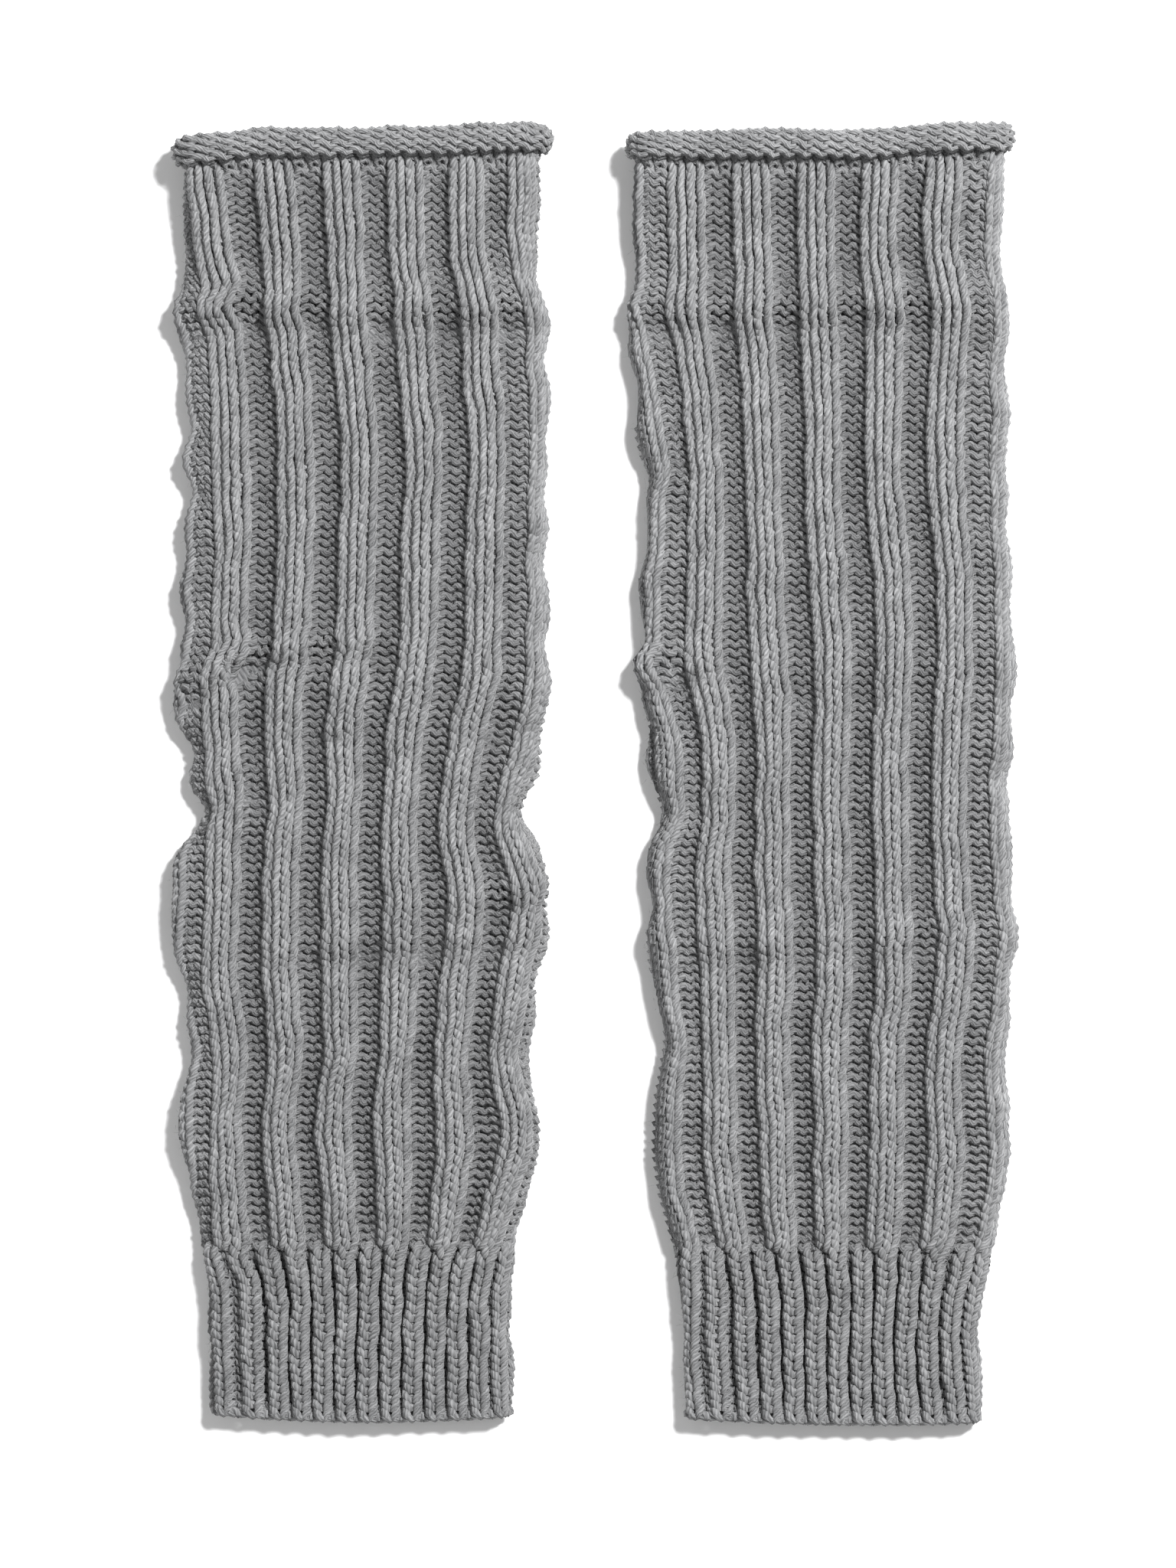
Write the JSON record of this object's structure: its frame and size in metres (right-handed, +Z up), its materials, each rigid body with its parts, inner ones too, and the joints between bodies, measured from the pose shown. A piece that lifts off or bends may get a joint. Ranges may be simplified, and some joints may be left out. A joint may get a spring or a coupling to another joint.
{
  "type": "pair of leg warmers",
  "caption": "Chunky grey rib-knit leg warmers laid flat side by side, open tubes with a rolled top edge and a narrower ribbed ankle cuff.",
  "frame": {"origin": "middle of the pair's box on the table it lies on", "axes": "+Y along the legs from the ankle cuffs to the rolled top edges, +X across the pair towards the right-hand warmer, +Z up off the table"},
  "size_m": [0.2972, 0.453, 0.026],
  "materials": {
    "roll_knit": "soft matt reverse stockinette in heather grey yarn",
    "leg_rib": "soft matt two-by-two rib in heather grey yarn",
    "cuff_rib": "soft matt one-by-one rib in heather grey yarn"
  },
  "bodies": {
    "root": {"left_top_roll": "roll_knit", "left_leg": "leg_rib", "left_cuff": "cuff_rib", "right_top_roll": "roll_knit", "right_leg": "leg_rib", "right_cuff": "cuff_rib"}
  },
  "joints": []
}
